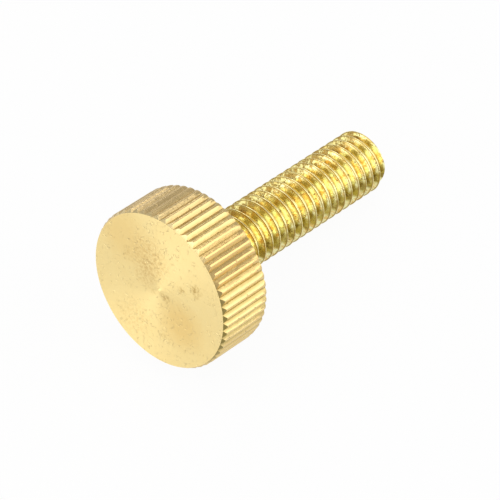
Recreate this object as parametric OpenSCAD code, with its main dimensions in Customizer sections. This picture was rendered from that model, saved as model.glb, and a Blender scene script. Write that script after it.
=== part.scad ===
// Thumb screw: a low knurled head and a threaded shank, turned in one piece from brass rod.
// It lies as it comes to rest, on the rear rim of the head and the end of the shank.

/* [Head] */
// Diameter over the crests of the knurl
head_d = 15.5; // [10:0.1:30]
// Height of the head, from the outer face to the seat
head_h = 5.6; // [3:0.1:15]
// Number of teeth round the knurl
teeth = 57; // [30:1:80]
// Depth of the grooves between the teeth
tooth_h = 0.22; // [0.1:0.01:0.3]
// Width of the flat land left on each crest
land_w = 0.16; // [0.04:0.01:0.25]

/* [Head edges] */
// Depth of the bevel round the outer face, measured along the radius
face_bevel = 0.2; // [0.1:0.01:0.8]
// Length of the bevel round the outer face, measured along the axis
face_bevel_l = 0.34; // [0.1:0.01:1]
// Depth of the bevel round the seat, measured along the radius
seat_bevel = 0.1; // [0.05:0.01:0.8]
// Length of the bevel round the seat, measured along the axis
seat_bevel_l = 0.4; // [0.1:0.01:1]

/* [Turning nib] */
// Diameter of the nib that facing leaves at the centre of the outer face
nib_d = 0.5; // [0.2:0.05:1.5]
// Height of the nib
nib_h = 0.08; // [0.02:0.01:0.3]

/* [Shank] */
// Nominal diameter of the thread
thread_d = 6; // [4:0.1:8]
// How much the crests of the thread lie under the nominal diameter
thread_allowance = 0.04; // [0:0.01:0.2]
// Length of the shank, from the seat to the end
shank_l = 22.2; // [12:0.1:60]
// Bevel at the end of the shank
end_bevel = 0.15; // [0.1:0.05:0.8]

/* [Hidden] */
$fn = 120;

// Share of their own size by which the bevel cones reach past the crests.
over = 0.25;

head_r = head_d / 2;
root_r = head_r - tooth_h;
shank_r = (thread_d - thread_allowance) / 2;
total_l = head_h + shank_l;

// One tooth and one groove take tooth_a degrees, and the land takes land_a of them.
tooth_a = 360 / teeth;
land_a = 2 * asin(land_w / 2 / head_r);

// At rest a groove is straight down, and the head stands on the teeth on both sides of it.
// They meet the surface at the rear ends of their crests, or on the rim of the seat where
// the bevel between the two is flatter than the screw's lean.
crest_a = (tooth_a - land_a) / 2;
crest_r = head_r * cos(crest_a);
crest_z = head_h - seat_bevel_l;
rim_a = crest_a * max(0, 1 - seat_bevel / tooth_h);
rim_r = (head_r - seat_bevel) * cos(rim_a);
end_z = total_l - end_bevel;
lean = max(atan((crest_r - shank_r) / (end_z - crest_z)),
           atan((rim_r - shank_r) / (end_z - head_h)));
axis_h = shank_r * cos(lean) + end_z * sin(lean);

// The ends of the screw along the surface, measured from the centre of the outer face.
back_x = min(-(head_r - face_bevel) * sin(lean),
             face_bevel_l * cos(lean) - crest_r * sin(lean));
front_x = max((shank_r - end_bevel) * sin(lean) + total_l * cos(lean),
              shank_r * sin(lean) + end_z * cos(lean));

function polar(r, a) = [r * cos(a), r * sin(a)];

// Round blank between two bevel cones; the outer face is at z = 0. The cones cut only the
// ends of the teeth, so the crests keep their own lands.
module head_blank() {
    rotate_extrude()
        polygon([
            [0, 0],
            [head_r - face_bevel, 0],
            [head_r + over * face_bevel, (1 + over) * face_bevel_l],
            [head_r + over * seat_bevel, head_h - (1 + over) * seat_bevel_l],
            [head_r - seat_bevel, head_h],
            [0, head_h]
        ]);
}

// Outline of the knurl with a groove at angle 0 and a flat land on each crest.
module knurl_outline() {
    polygon([
        for (i = [0 : teeth - 1])
            each [polar(root_r, i * tooth_a),
                  polar(head_r, (i + 0.5) * tooth_a - land_a / 2),
                  polar(head_r, (i + 0.5) * tooth_a + land_a / 2)]
    ]);
}

// Low drum with straight knurling; the knurl runs out through both bevels.
module knurled_head() {
    color("#e8cf86")
        intersection() {
            head_blank();
            linear_extrude(head_h) knurl_outline();
        }
}

// Blunt cone left at the centre of the outer face, where the facing tool stopped cutting.
module turning_nib() {
    color("#f2dd9c")
        translate([0, 0, -nib_h])
            cylinder(h = 2 * nib_h, d1 = nib_d / 2, d2 = nib_d * 1.5);
}

// Round shank, as wide as the crests of its thread, with a bevelled end.
module shank() {
    color("#c9a93c")
        rotate_extrude()
            polygon([
                [0, head_h / 2],
                [shank_r, head_h / 2],
                [shank_r, end_z],
                [shank_r - end_bevel, total_l],
                [0, total_l]
            ]);
}

// The screw stands on its outer face here, with its axis on Z.
module upright_screw() {
    union() {
        knurled_head();
        turning_nib();
        shank();
    }
}

// The screw laid down, with the head at -X, the end of the shank at +X and the surface at z = 0.
module thumb_screw() {
    translate([-(back_x + front_x) / 2, 0, axis_h])
        rotate([0, 90 + lean, 0])
            upright_screw();
}

thumb_screw();
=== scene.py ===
# %% [markdown]
# # A brass thumb screw
# A thumb screw is tightened by hand. A lathe turns its low round head and its shank from one
# brass rod, a knurling wheel presses the grip into the head, and a die cuts the thread.
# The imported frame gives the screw's solid. Its thread, its softened edges and its finish are
# made here, in the frame's own place and size.

# %% Load the frame
import math

import bmesh
import bpy
from mathutils import Matrix, Vector


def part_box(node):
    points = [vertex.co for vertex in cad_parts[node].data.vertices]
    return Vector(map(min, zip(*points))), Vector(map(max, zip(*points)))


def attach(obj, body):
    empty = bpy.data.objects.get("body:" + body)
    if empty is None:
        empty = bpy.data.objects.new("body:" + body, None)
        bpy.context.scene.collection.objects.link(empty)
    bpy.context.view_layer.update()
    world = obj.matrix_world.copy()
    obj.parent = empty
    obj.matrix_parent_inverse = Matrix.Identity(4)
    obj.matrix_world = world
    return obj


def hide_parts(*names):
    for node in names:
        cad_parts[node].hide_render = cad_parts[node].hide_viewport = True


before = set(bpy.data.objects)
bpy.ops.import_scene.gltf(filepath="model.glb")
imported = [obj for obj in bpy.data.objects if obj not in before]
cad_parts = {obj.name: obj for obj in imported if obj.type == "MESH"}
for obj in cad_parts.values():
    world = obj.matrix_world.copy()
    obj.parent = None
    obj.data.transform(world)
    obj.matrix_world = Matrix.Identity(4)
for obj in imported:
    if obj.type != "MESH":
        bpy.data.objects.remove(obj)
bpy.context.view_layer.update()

node_low, node_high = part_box("thumb_screw")
print("solid, in mm:", [round(1000 * (high - low), 3) for low, high in zip(node_low, node_high)])

# %% [markdown]
# ## Sizes
# The mesh is worked out in millimetres with the screw upright: the outer face of the head at
# z = 0 and the shank along +Z. These are the sizes of the solid, so both have one outline. They
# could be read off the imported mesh, but named sizes are easier to follow.

# %% The sizes of the screw, in mm
HEAD_R = 7.75
HEAD_H = 5.6
TEETH = 57
TOOTH_H = 0.22
LAND_W = 0.16
FACE_BEVEL, FACE_BEVEL_L = 0.2, 0.34
SEAT_BEVEL, SEAT_BEVEL_L = 0.1, 0.4
SHANK_R = 2.98
SHANK_L = 22.2
END_BEVEL = 0.15

MM = 0.001
FULL_TURN = 2 * math.pi
ROOT_R = HEAD_R - TOOTH_H
TOTAL_L = HEAD_H + SHANK_L
END_Z = TOTAL_L - END_BEVEL
TOOTH_A = FULL_TURN / TEETH
LAND_A = 2 * math.asin(LAND_W / 2 / HEAD_R)
print("screw:", round(TOTAL_L, 3), "mm long, a tooth every",
      round(math.degrees(TOOTH_A), 2), "degrees")

# %% [markdown]
# ## How the screw lies
# It rests on the rear ends of two crests of its head and on the end of its shank, so its axis
# leans. It could be modelled lying down, but every ring of it is simpler to place upright. The
# same triangle as in the solid gives the lean, and one matrix lays the finished mesh down.

# %% The lean, and the matrix that lays the screw down
crest_r = HEAD_R * math.cos((TOOTH_A - LAND_A) / 2)
LEAN = math.atan((crest_r - SHANK_R) / (END_Z - (HEAD_H - SEAT_BEVEL_L)))
LAY_ANGLE = math.pi / 2 + LEAN
axis_h = SHANK_R * math.cos(LEAN) + END_Z * math.sin(LEAN)
back_x = -(HEAD_R - FACE_BEVEL) * math.sin(LEAN)
front_x = max((SHANK_R - END_BEVEL) * math.sin(LEAN) + TOTAL_L * math.cos(LEAN),
              SHANK_R * math.sin(LEAN) + END_Z * math.cos(LEAN))
PLACE = Vector((-(back_x + front_x) / 2, 0, axis_h))
LAY_DOWN = (Matrix.Scale(MM, 4) @ Matrix.Translation(PLACE)
            @ Matrix.Rotation(LAY_ANGLE, 4, "Y"))
print("lean", round(math.degrees(LEAN), 3), "degrees, axis", round(axis_h, 3), "mm up")

# %% [markdown]
# ## Camera
# The camera looks down on the screw from in front of its head. A short lens close by would
# spread the head, so a long lens stands ten lengths of the screw away and keeps the perspective
# weak. It comes first, so that every later step can be looked at in the right view.

# %% Camera
ELEVATION = math.radians(50.75)
AZIMUTH = math.radians(-47.70)
# The centre of the face lies this far right of, below and in front of the camera, in metres.
FACE_RIGHT, FACE_DOWN, FACE_AHEAD = -0.008000, 0.003580, 0.3065
LENS_MM, SENSOR_MM = 252, 36
CLIP_START, CLIP_END = 0.01, 20

to_camera = Vector((math.sin(AZIMUTH) * math.cos(ELEVATION),
                    -math.cos(AZIMUTH) * math.cos(ELEVATION), math.sin(ELEVATION)))
camera_right = Vector((math.cos(AZIMUTH), math.sin(AZIMUTH), 0))
camera_up = to_camera.cross(camera_right)
face_centre = LAY_DOWN @ Vector((0, 0, 0))

camera_data = bpy.data.cameras.new("camera")
camera_data.lens = LENS_MM
camera_data.sensor_width = SENSOR_MM
camera_data.clip_start, camera_data.clip_end = CLIP_START, CLIP_END
camera = bpy.data.objects.new("camera", camera_data)
camera.matrix_world = Matrix.Translation(
    face_centre - FACE_RIGHT * camera_right + FACE_DOWN * camera_up + FACE_AHEAD * to_camera
) @ Matrix((camera_right, camera_up, to_camera)).transposed().to_4x4()
bpy.context.scene.collection.objects.link(camera)
bpy.context.scene.camera = camera
print("camera:", LENS_MM, "mm lens,", FACE_AHEAD, "m from the face")

# %% [markdown]
# ## Knurled rim
# A knurling wheel leaves a row of blunt teeth. One tooth's outline could be drawn 57 times, but
# it is enough to draw it once and let a spin with duplicates carry it round the axis. The
# corners of the land are rounded first, because rubbed metal has no sharp corners.


# %% Points, lines and rounded corners
def polar(radius, angle, z=0.0):
    return Vector((radius * math.cos(angle), radius * math.sin(angle), z))


def polyline(bm, points):
    """Joins the points with edges, and returns the vertices."""
    verts = [bm.verts.new(point) for point in points]
    for first, second in zip(verts, verts[1:]):
        bm.edges.new((first, second))
    return verts


CORNER_SEGMENTS = 2


def round_corners(bm, corners, offset):
    bmesh.ops.bevel(bm, geom=corners, offset=offset, offset_type="OFFSET",
                    segments=CORNER_SEGMENTS, profile=0.5, affect="VERTICES", material=-1)


LONG_EDGE = 0.05
END_SHARE = 0.12


def hold_flats(bm):
    """Adds a point near both ends of each long edge, so its flat stays flat when shaded."""
    for edge in [edge for edge in bm.edges if edge.calc_length() > LONG_EDGE]:
        bmesh.utils.edge_split(edge, edge.verts[0], END_SHARE)
        bmesh.utils.edge_split(edge, edge.verts[1], END_SHARE / (1 - END_SHARE))


# %% The ring of all teeth
LAND_ROUND = 0.03
RING_MERGE = 0.002


def spin_round(bm, steps, **how):
    """Carries all that is drawn once round the axis."""
    bmesh.ops.spin(bm, geom=bm.verts[:] + bm.edges[:], cent=(0, 0, 0), axis=(0, 0, 1),
                   angle=FULL_TURN, steps=steps, **how)


def tooth_ring(bm):
    """The outline of the knurl at z = 0, as one closed ring of edges."""
    half_land = LAND_A / 2
    tooth = polyline(bm, [
        polar(ROOT_R, -TOOTH_A / 2), polar(HEAD_R, -half_land),
        polar(HEAD_R, half_land), polar(ROOT_R, TOOTH_A / 2)])
    round_corners(bm, tooth[1:3], LAND_ROUND)
    hold_flats(bm)
    bmesh.ops.rotate(bm, verts=bm.verts, matrix=Matrix.Rotation(TOOTH_A / 2, 3, "Z"))
    spin_round(bm, TEETH, use_duplicate=True)
    bmesh.ops.remove_doubles(bm, verts=bm.verts, dist=RING_MERGE)
    return bm.edges[:]


head = bmesh.new()
ring = tooth_ring(head)
print("ring of teeth:", len(ring), "edges,", len(ring) / TEETH, "to a tooth")

# %% [markdown]
# The ring is then drawn out along the axis. Each row of vertices keeps its angle, and a row on
# a bevel slides to where its own tooth meets the bevel's cone, so the teeth run out in clean
# points, as they do where a chamfer is turned over a knurl.


# %% Rows of a skin
def radius_of(co):
    return math.hypot(co.x, co.y)


def angle_of(co):
    return math.atan2(co.y, co.x)


def set_row(row, radius, z):
    """Moves a row to a radius and a height, which may be functions of a vertex's tooth radius."""
    for vert, tooth_r in row.items():
        r = radius(tooth_r) if callable(radius) else radius
        height = z(tooth_r) if callable(z) else z
        vert.co = polar(r, angle_of(vert.co), height)


def draw_out(bm, edges):
    """Extrudes edges where they lie, and returns the new edges and the new vertices."""
    made = bmesh.ops.extrude_edge_only(bm, edges=edges)["geom"]
    return ([item for item in made if isinstance(item, bmesh.types.BMEdge)],
            [item for item in made if isinstance(item, bmesh.types.BMVert)])


def spot(vert):
    """The place of a vertex, by which a new one is told from its neighbours."""
    return tuple(round(c, 5) for c in vert.co)


def next_row(bm, edges, row):
    """Draws out a ring of edges, and returns the new ring and its vertices' tooth radii."""
    new_edges, new_verts = draw_out(bm, edges)
    tooth_radii = {spot(vert): tooth_r for vert, tooth_r in row.items()}
    return new_edges, {vert: tooth_radii[spot(vert)] for vert in new_verts}


# %% The rim, from bevel to bevel
BODY_ROWS = 8
# Where a groove is deeper than a bevel, its row keeps this much of it, so no rows fall together.
LEAST_BEVEL = 0.004
face_edge_r = HEAD_R - FACE_BEVEL
rim_r = HEAD_R - SEAT_BEVEL


def front_z(tooth_r):
    return FACE_BEVEL_L * max(tooth_r - face_edge_r, LEAST_BEVEL) / FACE_BEVEL


def rear_z(tooth_r):
    return HEAD_H - SEAT_BEVEL_L * max(tooth_r - rim_r, LEAST_BEVEL) / SEAT_BEVEL


row = {vert: radius_of(vert.co) for vert in head.verts}
set_row(row, lambda r: r, front_z)
face_ring, face_row = ring, dict(row)
for step in range(1, BODY_ROWS + 1):
    share = step / BODY_ROWS
    ring, row = next_row(head, ring, row)
    set_row(row, lambda r: r, lambda r: (1 - share) * front_z(r) + share * rear_z(r))
seat_ring, seat_row = next_row(head, ring, row)
set_row(seat_row, lambda r: min(r, rim_r), HEAD_H)
print("rim:", len(seat_row), "columns,", len(head.faces), "faces")

# %% [markdown]
# ## Face of the head
# The face is cut by a tool that feeds in towards the axis. It leaves the face very slightly
# hollow and a small nib in the middle, where the tool stops cutting. A disc could be laid on
# the rim, but the rings are pulled in from the knurl's own columns, so face and rim are one
# skin.

# %% Face, with its nib
FACE_RINGS = [
    (face_edge_r, 0.0), (7.3, 0.003), (6.6, 0.009), (5.4, 0.016), (4.0, 0.022), (2.6, 0.026),
    (1.4, 0.028), (0.7, 0.028), (0.42, 0.026), (0.3, 0.0), (0.2, -0.035), (0.1, -0.055)]
NIB_TIP_Z = -0.06


def pull_in(bm, ring, row, places):
    """Draws a ring in through each radius and height, and returns the last ring and row."""
    for radius, z in places:
        ring, row = next_row(bm, ring, row)
        set_row(row, radius, z)
    return ring, row


face_ring, face_row = pull_in(head, face_ring, face_row, FACE_RINGS)
bmesh.ops.pointmerge(head, verts=list(face_row), merge_co=(0, 0, NIB_TIP_Z))
print("face:", max(z for _, z in FACE_RINGS), "mm hollow, nib", -NIB_TIP_Z, "mm proud")

# %% [markdown]
# ## Seat
# The seat is the flat ring that clamps. It is drawn in from the rear rim in the same way, not
# capped with one face, because it has to stay open in the middle, where the shank will join it.

# %% Seat
SEAT_RINGS = [(7.4, HEAD_H), (6.2, HEAD_H), (4.6, HEAD_H)]
pull_in(head, seat_ring, seat_row, SEAT_RINGS)
print("head:", len(head.faces), "faces")

# %% [markdown]
# ## Thread
# A die cuts an M6 thread of 1 mm pitch over the whole shank. Rings side by side would look
# like one from afar, but wouldn't climb. One pitch of the profile, swept round the axis by a
# spin with a step along it, gives the true helix. The crest is a narrow flat and the groove is
# rounded.

# %% Profile of one pitch, swept along the helix
PITCH = 1.0
THREAD_DEPTH = 0.6
FLANK_ANGLE = math.radians(30)
CREST_W = 0.055
CREST_ROUND = 0.02
GROOVE_ROUND = 0.05
STEPS_PER_TURN = 96
FIRST_CREST = 4.219
TURNS = 24
THREAD_MERGE = 0.001


def thread_sweep(bm):
    """One turn of the thread, then the same turn again for each pitch of the shank."""
    crest, groove = SHANK_R, SHANK_R - THREAD_DEPTH
    crest_end = CREST_W / 2
    groove_start = crest_end + THREAD_DEPTH * math.tan(FLANK_ANGLE)
    line = polyline(bm, [Vector((radius, 0, z)) for radius, z in (
        (crest, 0), (crest, crest_end), (groove, groove_start),
        (groove, PITCH - groove_start), (crest, PITCH - crest_end), (crest, PITCH))])
    round_corners(bm, [line[1], line[4]], CREST_ROUND)
    round_corners(bm, [line[2], line[3]], GROOVE_ROUND)
    hold_flats(bm)
    bmesh.ops.translate(bm, verts=bm.verts, vec=(0, 0, FIRST_CREST))
    spin_round(bm, STEPS_PER_TURN, dvec=(0, 0, PITCH / STEPS_PER_TURN))
    one_turn = bm.verts[:] + bm.edges[:] + bm.faces[:]
    for turn in range(1, TURNS):
        copy = bmesh.ops.duplicate(bm, geom=one_turn)["geom"]
        verts = [item for item in copy if isinstance(item, bmesh.types.BMVert)]
        bmesh.ops.translate(bm, verts=verts, vec=(0, 0, turn * PITCH))
    bmesh.ops.remove_doubles(bm, verts=bm.verts, dist=THREAD_MERGE)


shank = bmesh.new()
thread_sweep(shank)
print("thread sweep:", len(shank.faces), "faces")

# %% [markdown]
# The sweep is longer than the shank at both ends. Two cuts trim it to the seat and to the end,
# and a few more near the end let the bevel be pressed in by moving vertices in to its cone. A
# boolean with the solid could trim it too, but would leave slivers along the helix.

# %% Trim the thread and bevel its end
NEAR = 1e-3
CUT_SNAP = 1e-5
END_CUTS = (0.0, 0.05, 0.1)


def cut(bm, z, clear_above=False, clear_below=False):
    bmesh.ops.bisect_plane(bm, geom=bm.verts[:] + bm.edges[:] + bm.faces[:], dist=CUT_SNAP,
                           plane_co=(0, 0, z), plane_no=(0, 0, 1),
                           clear_outer=clear_above, clear_inner=clear_below)


cut(shank, HEAD_H, clear_below=True)
cut(shank, TOTAL_L, clear_above=True)
for beyond in END_CUTS:
    cut(shank, END_Z + beyond)
for vert in shank.verts:
    allowed = SHANK_R - max(vert.co.z - END_Z, 0)
    if radius_of(vert.co) > allowed:
        vert.co = polar(allowed, angle_of(vert.co), vert.co.z)
bmesh.ops.remove_doubles(shank, verts=shank.verts, dist=THREAD_MERGE)
print("trimmed shank:", len(shank.faces), "faces")

# %% [markdown]
# The end is cut off flat. It is closed by rings drawn in to one point, since a single face over
# so uneven an outline would shade badly. At the seat one ring is drawn outwards, to be joined.

# %% Close the end of the shank
END_RINGS = (2.2, 1.4, 0.7, 0.3)
ROOT_RING_R = 3.4


def open_ring(bm, z):
    """The open edges that lie at height z."""
    return [edge for edge in bm.edges if edge.is_boundary
            and all(abs(vert.co.z - z) < NEAR for vert in edge.verts)]


def pull(bm, edges, radius, z):
    """Draws out an open ring to a radius and a height, and returns the new ring."""
    new_edges, new_verts = draw_out(bm, edges)
    for vert in new_verts:
        vert.co = polar(radius, angle_of(vert.co), z)
    return new_edges


end_ring = open_ring(shank, TOTAL_L)
for radius in END_RINGS:
    end_ring = pull(shank, end_ring, radius, TOTAL_L)
end_verts = {vert for edge in end_ring for vert in edge.verts}
bmesh.ops.pointmerge(shank, verts=list(end_verts), merge_co=(0, 0, TOTAL_L))
root_ring = open_ring(shank, HEAD_H)
pull(shank, root_ring, ROOT_RING_R, HEAD_H)
print("shank:", len(shank.faces), "faces, open ring at the seat:", len(root_ring), "edges")

# %% [markdown]
# ## One skin
# Head and shank are one piece of metal. They could be left as two shells pushed together, but
# both are put in one mesh and the two open rings on the seat are bridged, so nothing is left
# inside and the skin is closed.


# %% Join head and shank
def mesh_from(bm, name):
    mesh = bpy.data.meshes.new(name)
    bm.to_mesh(mesh)
    bm.free()
    return mesh


screw = bmesh.new()
for half in (mesh_from(head, "head"), mesh_from(shank, "shank")):
    screw.from_mesh(half)
    bpy.data.meshes.remove(half)
bmesh.ops.bridge_loops(screw, edges=open_ring(screw, HEAD_H))
bmesh.ops.recalc_face_normals(screw, faces=screw.faces)
print("open edges left:", sum(edge.is_boundary for edge in screw.edges),
      "volume:", round(screw.calc_volume(signed=True), 1), "mm3")

# %% [markdown]
# ## Shading and the turned direction
# Edges between faces that meet at a clear angle stay sharp, the rest is smooth. A lathe leaves
# fine marks that run round the axis. They could be modelled, but are far too fine, so a UV map
# is laid with one axis along the profile and one round the screw, and the shader later
# stretches its gloss across those marks.

# %% Sharp edges
SHARP_ANGLE = math.radians(24)
for edge in screw.edges:
    edge.smooth = edge.is_manifold and edge.calc_face_angle() < SHARP_ANGLE
for face in screw.faces:
    face.smooth = True
print("sharp edges:", sum(not edge.smooth for edge in screw.edges))

# %% UV map along the profile and round the axis
UV_PER_MM = 0.1
ON_AXIS = 1e-4


def turn_near(co, middle):
    """The angle of a corner, in the same turn as the middle of its face."""
    if radius_of(co) <= ON_AXIS:
        return middle
    turn = angle_of(co)
    return turn + FULL_TURN * round((middle - turn) / FULL_TURN)


turned_uv = screw.loops.layers.uv.new("turned")
for face in screw.faces:
    middle = angle_of(face.calc_center_median())
    for loop in face.loops:
        co = loop.vert.co
        loop[turned_uv].uv = (UV_PER_MM * (co.z + 0.5 * radius_of(co)),
                              turn_near(co, middle) / FULL_TURN)
print("UV maps:", list(screw.loops.layers.uv.keys()))

# %% [markdown]
# ## Regions
# The faced end, the knurl and the thread come off different tools and wear in different ways.
# The screw could be cut in three for them, but it is one piece, so each face gets the number
# of its finish instead.

# %% Number the finishes
FACED, KNURLED, THREADED = 0, 1, 2
FACE_DEPTH = 0.03


def finish_at(centre):
    """The number of the finish of a face, from its centre."""
    on_seat = centre.z > HEAD_H - NEAR
    if centre.z > HEAD_H + NEAR or (on_seat and radius_of(centre) < ROOT_RING_R):
        return THREADED
    if on_seat or (centre.z < FACE_DEPTH and radius_of(centre) < face_edge_r):
        return FACED
    return KNURLED


for face in screw.faces:
    face.material_index = finish_at(face.calc_center_median())
finishes = [face.material_index for face in screw.faces]
print("faced, knurled and threaded faces:",
      [finishes.count(number) for number in (FACED, KNURLED, THREADED)])

# %% [markdown]
# ## Into the frame
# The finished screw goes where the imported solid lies. It is one object, because the real one
# is one piece of metal. It could be shown beside the solid, but both would fill one place, so
# it stands for the solid and rides on the same body.

# %% Lay the screw down
bmesh.ops.transform(screw, matrix=LAY_DOWN, verts=screw.verts)
turned_screw = bpy.data.objects.new("turned_screw", mesh_from(screw, "turned_screw"))
bpy.context.scene.collection.objects.link(turned_screw)
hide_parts("thumb_screw")
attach(turned_screw, "root")
print("turned_screw:", len(turned_screw.data.polygons), "faces")

# %% [markdown]
# ## Brass
# The screw is one piece of brass, so its three finishes share their effects: where a point lies
# on the screw and on which side of it, patches of tarnish, specks, stains and small dents. Each
# effect is a node group of its own. It could be copied into every finish, but then a change
# would have to be made three times.


# %% Helpers for materials, nodes and groups
def new_material(name):
    material = bpy.data.materials.new(name)
    material.use_nodes = True
    material.node_tree.nodes.clear()
    return material, material.node_tree


def add(tree, kind, settings=None, **links):
    """Adds a node, sets its properties and joins or sets its inputs by name or number."""
    node = tree.nodes.new(kind)
    for name, value in (settings or {}).items():
        setattr(node, name, value)
    for name, value in links.items():
        numbered = name[0] == "i" and name[1:].isdigit()
        socket = node.inputs[int(name[1:])] if numbered else node.inputs[name.replace("_", " ")]
        if isinstance(value, bpy.types.NodeSocket):
            tree.links.new(value, socket)
        else:
            socket.default_value = value
    return node


def new_group(name, inputs, outputs):
    tree = bpy.data.node_groups.new(name, "ShaderNodeTree")
    for side_name, sockets in (("INPUT", inputs), ("OUTPUT", outputs)):
        for label, kind in sockets:
            tree.interface.new_socket(label, in_out=side_name, socket_type="NodeSocket" + kind)
    given = tree.nodes.new("NodeGroupInput").outputs
    return tree, given, tree.nodes.new("NodeGroupOutput").inputs


def use(tree, group, **links):
    return add(tree, "ShaderNodeGroup", {"node_tree": group}, **links).outputs


# %% Helpers for sums, ramps, mixes and noise
def in_order(values):
    return {"i%d" % number: value for number, value in enumerate(values)}


def calc(tree, operation, *values):
    return add(tree, "ShaderNodeMath", {"operation": operation}, **in_order(values)).outputs[0]


def calc_vector(tree, operation, *values):
    """The same for vectors. A length, a distance or a dot product comes out as a number."""
    node = add(tree, "ShaderNodeVectorMath", {"operation": operation}, **in_order(values))
    number = operation in ("LENGTH", "DISTANCE", "DOT_PRODUCT")
    return node.outputs["Value" if number else "Vector"]


def ramp(tree, value, low, high, to_low=0.0, to_high=1.0):
    """Turns low..high into to_low..to_high, held at both ends."""
    return add(tree, "ShaderNodeMapRange", Value=value, From_Min=low, From_Max=high,
               To_Min=to_low, To_Max=to_high).outputs[0]


def mixed(tree, share, first, second):
    node = add(tree, "ShaderNodeMix", {"data_type": "RGBA"}, i0=share)
    for socket, colour in ((node.inputs[6], first), (node.inputs[7], second)):
        if isinstance(colour, bpy.types.NodeSocket):
            tree.links.new(colour, socket)
        else:
            socket.default_value = (*colour, 1)
    return node.outputs[2]


def paint(tree, under, mask, strength, over):
    """Lays a colour over another where the mask is, at a strength from 0 to 1."""
    return mixed(tree, calc(tree, "MULTIPLY", mask, strength), under, over)


def heap(tree, *layers):
    """Adds up values, each times its own factor."""
    total = calc(tree, "MULTIPLY", *layers[0])
    for value, factor in layers[1:]:
        total = calc(tree, "MULTIPLY_ADD", value, factor, total)
    return total


def grain(tree, vector, scale, detail=3.0, roughness=0.55, distortion=0.0):
    return add(tree, "ShaderNodeTexNoise", Vector=vector, Scale=scale, Detail=detail,
               Roughness=roughness, Distortion=distortion).outputs[0]


# %% [markdown]
# A point on the screw is easiest to place in the screw's own upright frame, in millimetres. The
# lying frame could serve, but every distance would need the lean. A mapping node undoes the
# laying down, and gives the point, its distance from the axis and its distance behind the face.

# %% The screw's own frame
screw_frame, _, out = new_group(
    "screw_frame", [], [("Point", "Vector"), ("Radius", "Float"), ("Depth", "Float")])
place = add(screw_frame, "ShaderNodeMapping", {"vector_type": "TEXTURE"},
            Vector=add(screw_frame, "ShaderNodeTexCoord").outputs["Object"],
            Location=MM * PLACE, Rotation=(0, LAY_ANGLE, 0), Scale=(MM, MM, MM)).outputs[0]
parts = add(screw_frame, "ShaderNodeSeparateXYZ", Vector=place).outputs
flat = add(screw_frame, "ShaderNodeCombineXYZ", X=parts[0], Y=parts[1]).outputs[0]
screw_frame.links.new(place, out["Point"])
screw_frame.links.new(calc_vector(screw_frame, "LENGTH", flat), out["Radius"])
screw_frame.links.new(parts[2], out["Depth"])
print("screw_frame:", len(screw_frame.nodes), "nodes")

# %% [markdown]
# Tarnish lies in patches with soft and ragged edges. Two noises of different size, one laid over
# the other, look more like it than one noise does. The threshold sets how much is covered.

# %% Patches
FINER = 6.0
RAGGED_SHARE = 0.35
patches, given, out = new_group(
    "patches", [("Point", "Vector"), ("Scale", "Float"), ("Threshold", "Float"),
                ("Softness", "Float")], [("Mask", "Float")])
broad = grain(patches, given["Point"], given["Scale"], 4.0, 0.6, 0.4)
ragged = grain(patches, given["Point"], calc(patches, "MULTIPLY", given["Scale"], FINER), 2.0)
level = calc(patches, "MULTIPLY_ADD", ragged, RAGGED_SHARE, broad)
level = calc(patches, "SUBTRACT", level, RAGGED_SHARE / 2)
top = calc(patches, "ADD", given["Threshold"], given["Softness"])
patches.links.new(ramp(patches, level, given["Threshold"], top), out["Mask"])
print("patches:", len(patches.nodes), "nodes")

# %% [markdown]
# Specks are small round spots of corrosion. A noise gives no dots, but cells do: each has one
# centre and a chance of its own, which decides if there is a speck and how large it is.

# %% Specks
SPECK_SIZE = 0.32
SPECK_EDGE = 0.1
specks, given, out = new_group(
    "specks", [("Point", "Vector"), ("Scale", "Float"), ("Threshold", "Float")],
    [("Mask", "Float")])
cells = add(specks, "ShaderNodeTexVoronoi", Vector=given["Point"], Scale=given["Scale"])
chance = add(specks, "ShaderNodeSeparateColor", Color=cells.outputs["Color"]).outputs[0]
present = calc(specks, "GREATER_THAN", chance, given["Threshold"])
inside = calc(specks, "SUBTRACT", calc(specks, "MULTIPLY", chance, SPECK_SIZE),
              cells.outputs["Distance"])
dot = ramp(specks, inside, 0.0, SPECK_EDGE)
specks.links.new(calc(specks, "MULTIPLY", dot, present), out["Mask"])
print("specks:", len(specks.nodes), "nodes")

# %% [markdown]
# A stain has a place of its own, which patches from a noise alone wouldn't have. Its mask is an
# ellipse whose edge a noise makes ragged.

# %% One stain
STAIN_CORE = 0.35
stain, given, out = new_group(
    "stain", [("Point", "Vector"), ("Centre", "Vector"), ("Size", "Float"),
              ("Ragged", "Float")], [("Mask", "Float")])
shaken = add(stain, "ShaderNodeTexNoise", Vector=given["Point"], Scale=1.6, Detail=4.0)
shaken = calc_vector(stain, "SUBTRACT", shaken.outputs["Color"], (0.5, 0.5, 0.5))
shaken = add(stain, "ShaderNodeVectorMath", {"operation": "SCALE"}, i0=shaken,
             Scale=given["Ragged"]).outputs[0]
moved = calc_vector(stain, "ADD", given["Point"], shaken)
away = calc_vector(stain, "DISTANCE", moved, given["Centre"])
share = calc(stain, "DIVIDE", away, given["Size"])
stain.links.new(ramp(stain, share, 1.0, STAIN_CORE), out["Mask"])
print("stain:", len(stain.nodes), "nodes")

# %% [markdown]
# Handling leaves small dents that wander in every direction. The lines where a noise passes its
# middle value wander like that, and a second noise breaks them into short pieces.

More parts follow.
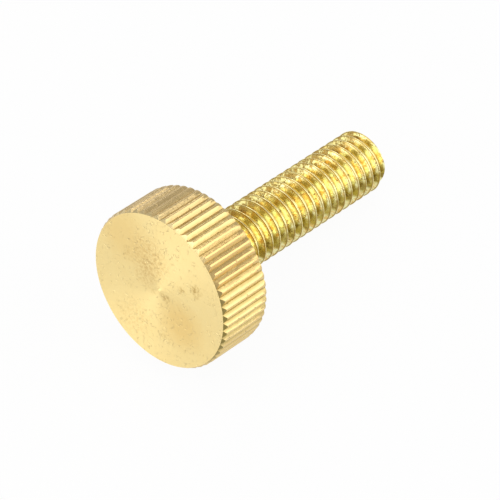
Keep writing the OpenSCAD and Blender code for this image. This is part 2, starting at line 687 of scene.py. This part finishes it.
# %% Small dents
dents, given, out = new_group(
    "dents", [("Point", "Vector"), ("Scale", "Float"), ("Width", "Float"),
              ("Threshold", "Float")], [("Mask", "Float")])
wander = grain(dents, given["Point"], given["Scale"], 1.0, 0.5)
from_middle = calc(dents, "ABSOLUTE", calc(dents, "SUBTRACT", wander, 0.5))
line = calc(dents, "SUBTRACT", 1.0, calc(dents, "DIVIDE", from_middle, given["Width"]))
line = ramp(dents, line, 0.0, 0.6)
pieces = grain(dents, given["Point"], calc(dents, "MULTIPLY", given["Scale"], 1.4), 1.0, 0.5, 0.5)
top = calc(dents, "ADD", given["Threshold"], 0.05)
dents.links.new(calc(dents, "MULTIPLY", line, ramp(dents, pieces, given["Threshold"], top)),
                out["Mask"])
print("dents:", len(dents.nodes), "nodes")

# %% [markdown]
# The side of the screw a point lies on matters too: the shank's lower side is painted dull as
# shade. The group compares the direction from the axis to the point with a given one.

# %% Side of the screw
side, given, out = new_group(
    "side", [("Point", "Vector"), ("Toward", "Vector"), ("From", "Float"), ("To", "Float")],
    [("Mask", "Float")])
flat = calc_vector(side, "MULTIPLY", given["Point"], (1, 1, 0))
unit = calc_vector(side, "NORMALIZE", flat)
along = calc_vector(side, "DOT_PRODUCT", unit, given["Toward"])
side.links.new(ramp(side, along, given["From"], given["To"]), out["Mask"])

# The sides, as directions from the axis. As the screw lies, its -X is up and its -Y to the front.
UPPER_SIDE = (-0.741, 0.672, 0)
TOP_SIDE = (-0.988, 0.156, 0)
TOP_STRIP = (-0.975, -0.222, 0)
MIDDLE_SIDE = (-0.757, -0.653, 0)
LOWER_SIDE = (-0.052, -0.999, 0)


def on_side(tree, point, toward, low, high):
    return use(tree, side, Point=point, Toward=toward, From=low, To=high)["Mask"]


print("side:", len(side.nodes), "nodes")

# %% [markdown]
# ## The three finishes
# All three are the same metal, so they share one shader. It could be set up three times over,
# but only its colour, gloss and relief differ, and these are handed in. The tangent runs along
# the profile, across the tool's marks.

# %% The metal
BUMP_DEPTH = 0.00003


def turned_shader(tree, colour, roughness, anisotropy, height):
    bump = add(tree, "ShaderNodeBump", Distance=BUMP_DEPTH, Height=height)
    shader = add(tree, "ShaderNodeBsdfPrincipled", Base_Color=colour, Metallic=1.0,
                 Roughness=roughness, Anisotropic=anisotropy, Normal=bump.outputs[0])
    tangent = add(tree, "ShaderNodeTangent", {"direction_type": "UV_MAP", "uv_map": "turned"})
    tree.links.new(tangent.outputs[0], shader.inputs["Tangent"])
    add(tree, "ShaderNodeOutputMaterial", Surface=shader.outputs[0])


def start_finish(name):
    """A new material, its tree, and where a point of it lies on the screw."""
    material, tree = new_material(name)
    here = use(tree, screw_frame)
    return material, tree, here, here["Point"]


# %% [markdown]
# The face was turned and then handled. It is pale and satin, with fine rings from the tool,
# a few stains round the middle, specks and small dents. The stains could come from one more
# noise, but a list keeps them few, and gives each a place and a size of its own.

# %% Colour and stains of the face
FACE_RIGHTWARD, FACE_UPWARD = (-0.5777, -0.8165), (-0.8162, 0.5774)


def on_face(right, up):
    """A place on the face, from millimetres right of and above its centre as one looks at it."""
    x, y = (right * r + up * u for r, u in zip(FACE_RIGHTWARD, FACE_UPWARD))
    return (x, y, 0.0)


STAIN_COLOURS = {"grey": (0.74, 0.52, 0.21), "brown": (0.56, 0.38, 0.13),
                 "warm": (0.90, 0.65, 0.25)}
# Kind, place right of and above the centre, size, raggedness and strength.
FACE_STAINS = [
    ("grey", 0.2, 3.2, 2.7, 2.2, 0.75), ("grey", -0.9, 1.5, 1.7, 1.8, 0.5),
    ("brown", 0.55, -0.7, 0.7, 1.4, 0.7), ("brown", -0.7, -0.1, 0.4, 1.0, 0.4),
    ("brown", 3.0, 0.05, 0.55, 1.2, 0.7), ("brown", 4.7, -0.1, 0.85, 1.5, 0.85),
    ("grey", -4.6, -2.6, 2.6, 2.4, 0.4), ("brown", -1.3, -4.6, 0.8, 2.4, 0.4),
    ("brown", -2.4, 3.6, 0.8, 2.0, 0.35), ("warm", 1.3, -3.4, 3.0, 1.2, 0.75),
    ("warm", -2.0, 5.5, 3.4, 1.5, 0.5)]

faced, tree, here, point = start_finish("faced_brass")
colour = mixed(tree, grain(tree, point, 0.35), (0.98, 0.80, 0.39), (0.97, 0.76, 0.34))
granular = ramp(tree, grain(tree, point, 3.6, 4.0, 0.65), 0.42, 0.6, 0.1, 1.0)
stained = 0.0
for kind, right, up, size, ragged, strength in FACE_STAINS:
    mask = use(tree, stain, Point=point, Centre=on_face(right, up), Size=size,
               Ragged=ragged)["Mask"]
    share = calc(tree, "MULTIPLY", mask, strength)
    if kind != "warm":
        share = calc(tree, "MULTIPLY", share, granular)
        stained = calc(tree, "ADD", stained, share)
    colour = mixed(tree, share, colour, STAIN_COLOURS[kind])
print("stains:", len(FACE_STAINS))

# %% [markdown]
# The tool's rings show in the gloss and in the relief. The gloss is stretched across them,
# which is what draws the two bright wedges from the middle to the edge. Real grooves would need
# a far finer mesh to do the same.

# %% Specks, dents, gloss and relief of the face
FACE_SPECK, FACE_DENT = (0.62, 0.46, 0.18), (0.70, 0.50, 0.20)
FACE_ANISOTROPY = 0.7
wobble = add(tree, "ShaderNodeTexNoise", Vector=point, Scale=4.0).outputs["Color"]
dots = use(tree, specks, Point=calc_vector(tree, "ADD", point, wobble), Scale=3.4,
           Threshold=0.93)["Mask"]
colour = paint(tree, colour, dots, 0.5, FACE_SPECK)
rarer = ramp(tree, grain(tree, point, 0.28, 1.0), 0.35, 0.65, 0.07, -0.07)
dinged = use(tree, dents, Point=point, Scale=1.4, Width=0.03,
             Threshold=calc(tree, "ADD", rarer, 0.55))["Mask"]
colour = paint(tree, colour, dinged, 0.12, FACE_DENT)
rings = add(tree, "ShaderNodeTexNoise", {"noise_dimensions": "1D"}, W=here["Radius"],
            Scale=16.0, Detail=3.0).outputs[0]
rough = ramp(tree, rings, 0.3, 0.7, 0.4, 0.5)
rough = calc(tree, "MULTIPLY_ADD", stained, 0.12, rough)
rough = calc(tree, "MULTIPLY_ADD", dinged, -0.12, rough)
height = heap(tree, (rings, 0.25), (grain(tree, point, 9.0, 3.0, 0.6), 0.35),
              (grain(tree, point, 1.3, 3.0), 0.9), (dinged, -1.5), (dots, -1.0))
turned_shader(tree, colour, rough, FACE_ANISOTROPY, height)
print("faced_brass:", len(tree.nodes), "nodes")

# %% [markdown]
# On the knurl the crests are rubbed clean by fingers, while grease and tarnish stay in the
# grooves.
# The grooves are darkened partly by that grease and partly by painted shade, and the upper side
# of the head and the grooves of its lower side are painted darker as shade. The grooves could be
# given a finish of their own, but grease has no hard edge, so the distance from the axis tells
# the two apart.

# %% Colour of the knurl
KNURL = {"clean": (0.84, 0.64, 0.28), "blotch": (0.81, 0.58, 0.24), "upper": (0.69, 0.51, 0.25),
         "middle": (0.81, 0.56, 0.22), "grease_and_groove_shade": (0.47, 0.34, 0.12),
         "low_groove_shade": (0.40, 0.32, 0.10), "speck": (0.36, 0.26, 0.12)}
knurled, tree, here, point = start_finish("knurled_brass")
deep = ramp(tree, here["Radius"], HEAD_R - 0.05, ROOT_R + 0.01)
blotch = use(tree, patches, Point=point, Scale=0.7, Threshold=0.5, Softness=0.2)["Mask"]
colour = mixed(tree, blotch, KNURL["clean"], KNURL["blotch"])
# The upper side of the head is painted darker, as shade.
above = on_side(tree, point, UPPER_SIDE, 0.55, 0.95)
colour = paint(tree, colour, above, 0.95, KNURL["upper"])
middle = on_side(tree, point, MIDDLE_SIDE, 0.93, 0.99)
colour = paint(tree, colour, middle, 0.8, KNURL["middle"])
# The grooves are darkened by grease and by painted shade, less so on the upper side.
grease_and_groove_shade = calc(tree, "MULTIPLY", deep, ramp(tree, grain(tree, point, 1.5), 0.3, 0.6, 0.4, 0.75))
grease_and_groove_shade = calc(tree, "MULTIPLY", grease_and_groove_shade, ramp(tree, above, 0.0, 1.0, 1.0, 0.5))
colour = mixed(tree, grease_and_groove_shade, colour, KNURL["grease_and_groove_shade"])
# The grooves on the lower side get more painted shade.
low_side = on_side(tree, point, LOWER_SIDE, 0.8, 0.98)
colour = paint(tree, colour, calc(tree, "MULTIPLY", low_side, deep), 0.45, KNURL["low_groove_shade"])
print("knurled_brass, colour:", len(tree.nodes), "nodes")

# %% [markdown]
# Each tooth ends in a pointed facet where the bevel cuts it. A painted shade darkens the facets
# on the lower side of the head, and a painted highlight brightens them on the upper side. They
# could be picked out by hand in the mesh, but a point that lies just on the bevel's cone is easy
# to find from its depth and its radius.

# %% Painted shade and highlight on the facets, gloss and relief of the knurl
PAINTED_FACET_SHADE, PAINTED_FACET_HIGHLIGHT = (0.27, 0.21, 0.06), (0.95, 0.82, 0.46)
bevelled = ramp(tree, here["Depth"], 0.0, FACE_BEVEL_L, HEAD_R - FACE_BEVEL, HEAD_R)
below_bevel = calc(tree, "SUBTRACT", bevelled, here["Radius"])
ends = calc(tree, "MULTIPLY", ramp(tree, below_bevel, 0.03, 0.012),
            ramp(tree, here["Depth"], FACE_BEVEL_L + 0.06, FACE_BEVEL_L - 0.02))
# Painted shade on the facets of the lower side, and a painted highlight on those of the upper
# side.
colour = paint(tree, colour, calc(tree, "MULTIPLY", ends, low_side), 0.95, PAINTED_FACET_SHADE)
high_side = on_side(tree, point, TOP_SIDE, 0.6, 0.8)
colour = paint(tree, colour, calc(tree, "MULTIPLY", ends, high_side), 0.35, PAINTED_FACET_HIGHLIGHT)
dots = use(tree, specks, Point=point, Scale=3.6, Threshold=0.93)["Mask"]
colour = paint(tree, colour, dots, 0.5, KNURL["speck"])
rough = ramp(tree, grain(tree, point, 1.2), 0.3, 0.7, 0.2, 0.32)
rough = calc(tree, "MULTIPLY_ADD", grease_and_groove_shade, 0.15, rough)
lengthwise = calc_vector(tree, "MULTIPLY", point, (1, 1, 0.22))
height = heap(tree, (grain(tree, lengthwise, 5.0, 2.0, 0.5), 0.45),
              (grain(tree, point, 2.2, 3.0), 0.8), (dots, -0.8))
turned_shader(tree, colour, rough, 0.0, height)
print("knurled_brass:", len(tree.nodes), "nodes")

# %% [markdown]
# The thread is bright on its crests and on clean flanks. Orange tarnish lies over it in patches,
# and its upper side is pitted and smeared. Its lower side is painted dull and olive as shade, a
# narrow band near the top is painted darker as a dark reflection, and the roots of the groove are
# darker. One colour per turn could be painted, but the colours follow the depth of the groove and
# the side.

# %% Tarnish, painted shade and darker roots in the thread
THREAD = {"clean": (0.94, 0.91, 0.47), "orange": (0.79, 0.50, 0.12), "root_darkening": (0.50, 0.33, 0.09),
          "lower_side_shade": (0.47, 0.36, 0.04), "darker_lower_shade": (0.30, 0.21, 0.04),
          "painted_dark_band": (0.68, 0.50, 0.12), "upper": (0.95, 0.83, 0.29), "brown": (0.38, 0.21, 0.03),
          "speck": (0.34, 0.22, 0.07), "painted_crest_shade": (0.36, 0.23, 0.05),
          "crest": (0.94, 0.84, 0.44)}
threaded, tree, here, point = start_finish("threaded_brass")
long_way = calc_vector(tree, "MULTIPLY", point, (1, 1, 0.6))
orange = use(tree, patches, Point=long_way, Scale=1.3, Threshold=0.5, Softness=0.1)["Mask"]
colour = paint(tree, THREAD["clean"], orange, 0.85, THREAD["orange"])
# The roots of the groove are painted darker, in patches.
root = ramp(tree, here["Radius"], SHANK_R - 0.36, SHANK_R - 0.54)
root_darkening = ramp(tree, grain(tree, point, 0.9, 3.0), 0.3, 0.6, 0.3, 1.0)
colour = paint(tree, colour, root, calc(tree, "MULTIPLY", root_darkening, 0.8), THREAD["root_darkening"])
# The lower side is painted dull olive as shade, in patches, and darker still in places.
below = on_side(tree, point, LOWER_SIDE, 0.96, 0.99)
lower_side_shade = use(tree, patches, Point=long_way, Scale=1.1, Threshold=0.35, Softness=0.3)["Mask"]
lower_side_shade = calc(tree, "MULTIPLY", below, ramp(tree, lower_side_shade, 0.0, 1.0, 0.7, 1.0))
colour = mixed(tree, lower_side_shade, colour, THREAD["lower_side_shade"])
dark = ramp(tree, grain(tree, long_way, 1.7, 3.0), 0.48, 0.58, 0.0, 0.8)
colour = paint(tree, colour, below, dark, THREAD["darker_lower_shade"])
# A narrow band near the top is painted darker, as a dark reflection.
painted_dark_band = on_side(tree, point, TOP_STRIP, 0.98, 0.999)
colour = paint(tree, colour, painted_dark_band, 0.7, THREAD["painted_dark_band"])
print("threaded_brass, tarnish:", len(tree.nodes), "nodes")

# %% [markdown]
# The upper side is pale under brown pits and smears, which stop short of the crests. The crests
# are worn bright in places, and a painted shade line lies just below them. Both follow the
# radius, where a noise alone would cross the turns.

# %% Upper side and crests of the thread
above = on_side(tree, point, UPPER_SIDE, 0.8, 0.96)
upper = on_side(tree, point, UPPER_SIDE, 0.6, 0.9)
pitted = use(tree, patches, Point=point, Scale=1.9, Threshold=0.5, Softness=0.08)["Mask"]
smear = ramp(tree, grain(tree, point, 0.8, 3.0), 0.5, 0.56)
smear = calc(tree, "MULTIPLY", ramp(tree, here["Radius"], SHANK_R - 0.1, SHANK_R - 0.18), smear)
brown = calc(tree, "MULTIPLY", upper, calc(tree, "MAXIMUM", pitted, smear))
colour = paint(tree, colour, above, 0.55, THREAD["upper"])
colour = paint(tree, colour, brown, 0.85, THREAD["brown"])
dots = use(tree, specks, Point=point, Scale=3.0, Threshold=0.8)["Mask"]
colour = paint(tree, colour, dots, 0.7, THREAD["speck"])
crest = ramp(tree, here["Radius"], SHANK_R - 0.03, SHANK_R - 0.01)
# A painted shade line lies just below each crest.
crest_shade_line = calc(tree, "MULTIPLY", ramp(tree, here["Radius"], SHANK_R - 0.13, SHANK_R - 0.08),
                   calc(tree, "SUBTRACT", 1.0, crest))
colour = paint(tree, colour, crest_shade_line, 0.85, THREAD["painted_crest_shade"])
worn = ramp(tree, grain(tree, point, 1.1, 2.0), 0.38, 0.6, 0.15, 0.95)
colour = paint(tree, colour, crest, worn, THREAD["crest"])
print("threaded_brass, colour:", len(tree.nodes), "nodes")

# %% Gloss and relief of the thread
rough = ramp(tree, grain(tree, point, 1.4), 0.3, 0.7, 0.13, 0.23)
rough = calc(tree, "MULTIPLY_ADD", above, 0.16, rough)
rough = calc(tree, "MULTIPLY_ADD", lower_side_shade, 0.12, rough)
height = heap(tree, (grain(tree, point, 4.0, 3.0, 0.6), 0.5), (grain(tree, point, 1.4, 2.0), 0.6),
              (calc(tree, "MULTIPLY", brown, above), -1.0), (dots, -0.8))
turned_shader(tree, colour, rough, 0.0, height)
print("threaded_brass:", len(tree.nodes), "nodes")

# %% [markdown]
# The finishes could go on by name, but the faces carry numbers, so the materials are put on the
# screw in the order of those numbers.

# %% Put the finishes on the screw
for material in (faced, knurled, threaded):
    turned_screw.data.materials.append(material)
print("materials:", len(turned_screw.data.materials))

# %% [markdown]
# ## Floor and light
# The screw lies on a white bench. Matt paint alone would come out grey and uneven, so the bench
# is seen as nearly even white, and is a little over half of that white in the metal's mirror.
# The rest stays matt, which lights the screw softly from below and leaves a faint shadow.

# %% Floor
FLOOR_HALF = 2.0
SEEN_WHITE, MIRRORED_WHITE = 0.95, 0.56
floor_bm = bmesh.new()
bmesh.ops.create_grid(floor_bm, x_segments=1, y_segments=1, size=FLOOR_HALF)
floor = bpy.data.objects.new("bench_top", mesh_from(floor_bm, "bench_top"))
bpy.context.scene.collection.objects.link(floor)

floor_material, tree = new_material("bench_top")
path = add(tree, "ShaderNodeLightPath").outputs
white = add(tree, "ShaderNodeEmission", Color=(1, 1, 1, 1), Strength=1.0).outputs[0]
matt = add(tree, "ShaderNodeBsdfDiffuse", Color=(0.8, 0.8, 0.8, 1)).outputs[0]
whiteness = calc(tree, "MULTIPLY", path["Is Camera Ray"], SEEN_WHITE)
whiteness = calc(tree, "MULTIPLY_ADD", path["Is Glossy Ray"], MIRRORED_WHITE, whiteness)
surface = add(tree, "ShaderNodeMixShader", i0=whiteness, i1=matt, i2=white).outputs[0]
add(tree, "ShaderNodeOutputMaterial", Surface=surface)
floor.data.materials.append(floor_material)
print("floor:", 2 * FLOOR_HALF, "m across")

# %% [markdown]
# The room round the bench is white too. Bright walls on all sides would wash out every shadow
# in the metal, so the room is dim as a light, a little brighter in the metal's mirror and white
# behind the bench.

# %% World
DIM, MIRRORED_ADDS, SEEN_ADDS = 0.3, 0.25, 0.7
world = bpy.data.worlds.new("studio")
world.use_nodes = True
tree = world.node_tree
tree.nodes.clear()
path = add(tree, "ShaderNodeLightPath").outputs
level = calc(tree, "MULTIPLY_ADD", path["Is Glossy Ray"], MIRRORED_ADDS, DIM)
level = calc(tree, "MULTIPLY_ADD", path["Is Camera Ray"], SEEN_ADDS, level)
room = add(tree, "ShaderNodeBackground", Color=(1, 1, 1, 1), Strength=level)
add(tree, "ShaderNodeOutputWorld", Surface=room.outputs[0])
bpy.context.scene.world = world
print("world:", len(tree.nodes), "nodes")

# %% [markdown]
# Brass shows its lamps as in a mirror. Bare bulbs would leave hard points on it, so six
# softboxes stand round the screw, and their places set where the bright bands run along the
# thread and over the face.

# %% Softboxes
# Elevation and azimuth from +X in degrees; distance, width and height in metres; radiance.
SOFTBOXES = {
    "softbox_right": (25, -46, 0.35, 0.42, 0.39, 1.28),
    "softbox_low": (5, -74, 0.34, 0.16, 0.07, 0.9),
    "softbox_rear": (44, 58, 0.35, 0.24, 0.18, 1.8),
    "softbox_left": (28, 181, 0.35, 0.53, 0.54, 1.2),
    "softbox_back_left": (12, 127, 0.35, 0.26, 0.24, 0.7),
    "softbox_top": (86, 180, 0.35, 0.26, 0.3, 1.15)}


def softbox(name, elevation, azimuth, distance, width, height, radiance):
    """A lamp whose surface shows at the given radiance, aimed at the screw."""
    lamp = bpy.data.lights.new(name, "AREA")
    lamp.shape = "RECTANGLE"
    lamp.size, lamp.size_y = width, height
    lamp.energy = radiance * math.pi * width * height
    holder = bpy.data.objects.new(name, lamp)
    e, a = math.radians(elevation), math.radians(azimuth)
    direction = Vector((math.cos(e) * math.cos(a), math.cos(e) * math.sin(a), math.sin(e)))
    direction.normalize()
    holder.matrix_world = (Matrix.Translation(direction * distance)
                           @ direction.to_track_quat("Z", "Y").to_matrix().to_4x4())
    bpy.context.scene.collection.objects.link(holder)


for name, settings in SOFTBOXES.items():
    softbox(name, *settings)
print("softboxes:", len(SOFTBOXES))

# %% [markdown]
# ## Colours
# The colours are shown as they are rendered: a film-like curve would grey the white bench.

# %% View
bpy.context.scene.view_settings.view_transform = "Standard"
print("view transform:", bpy.context.scene.view_settings.view_transform)
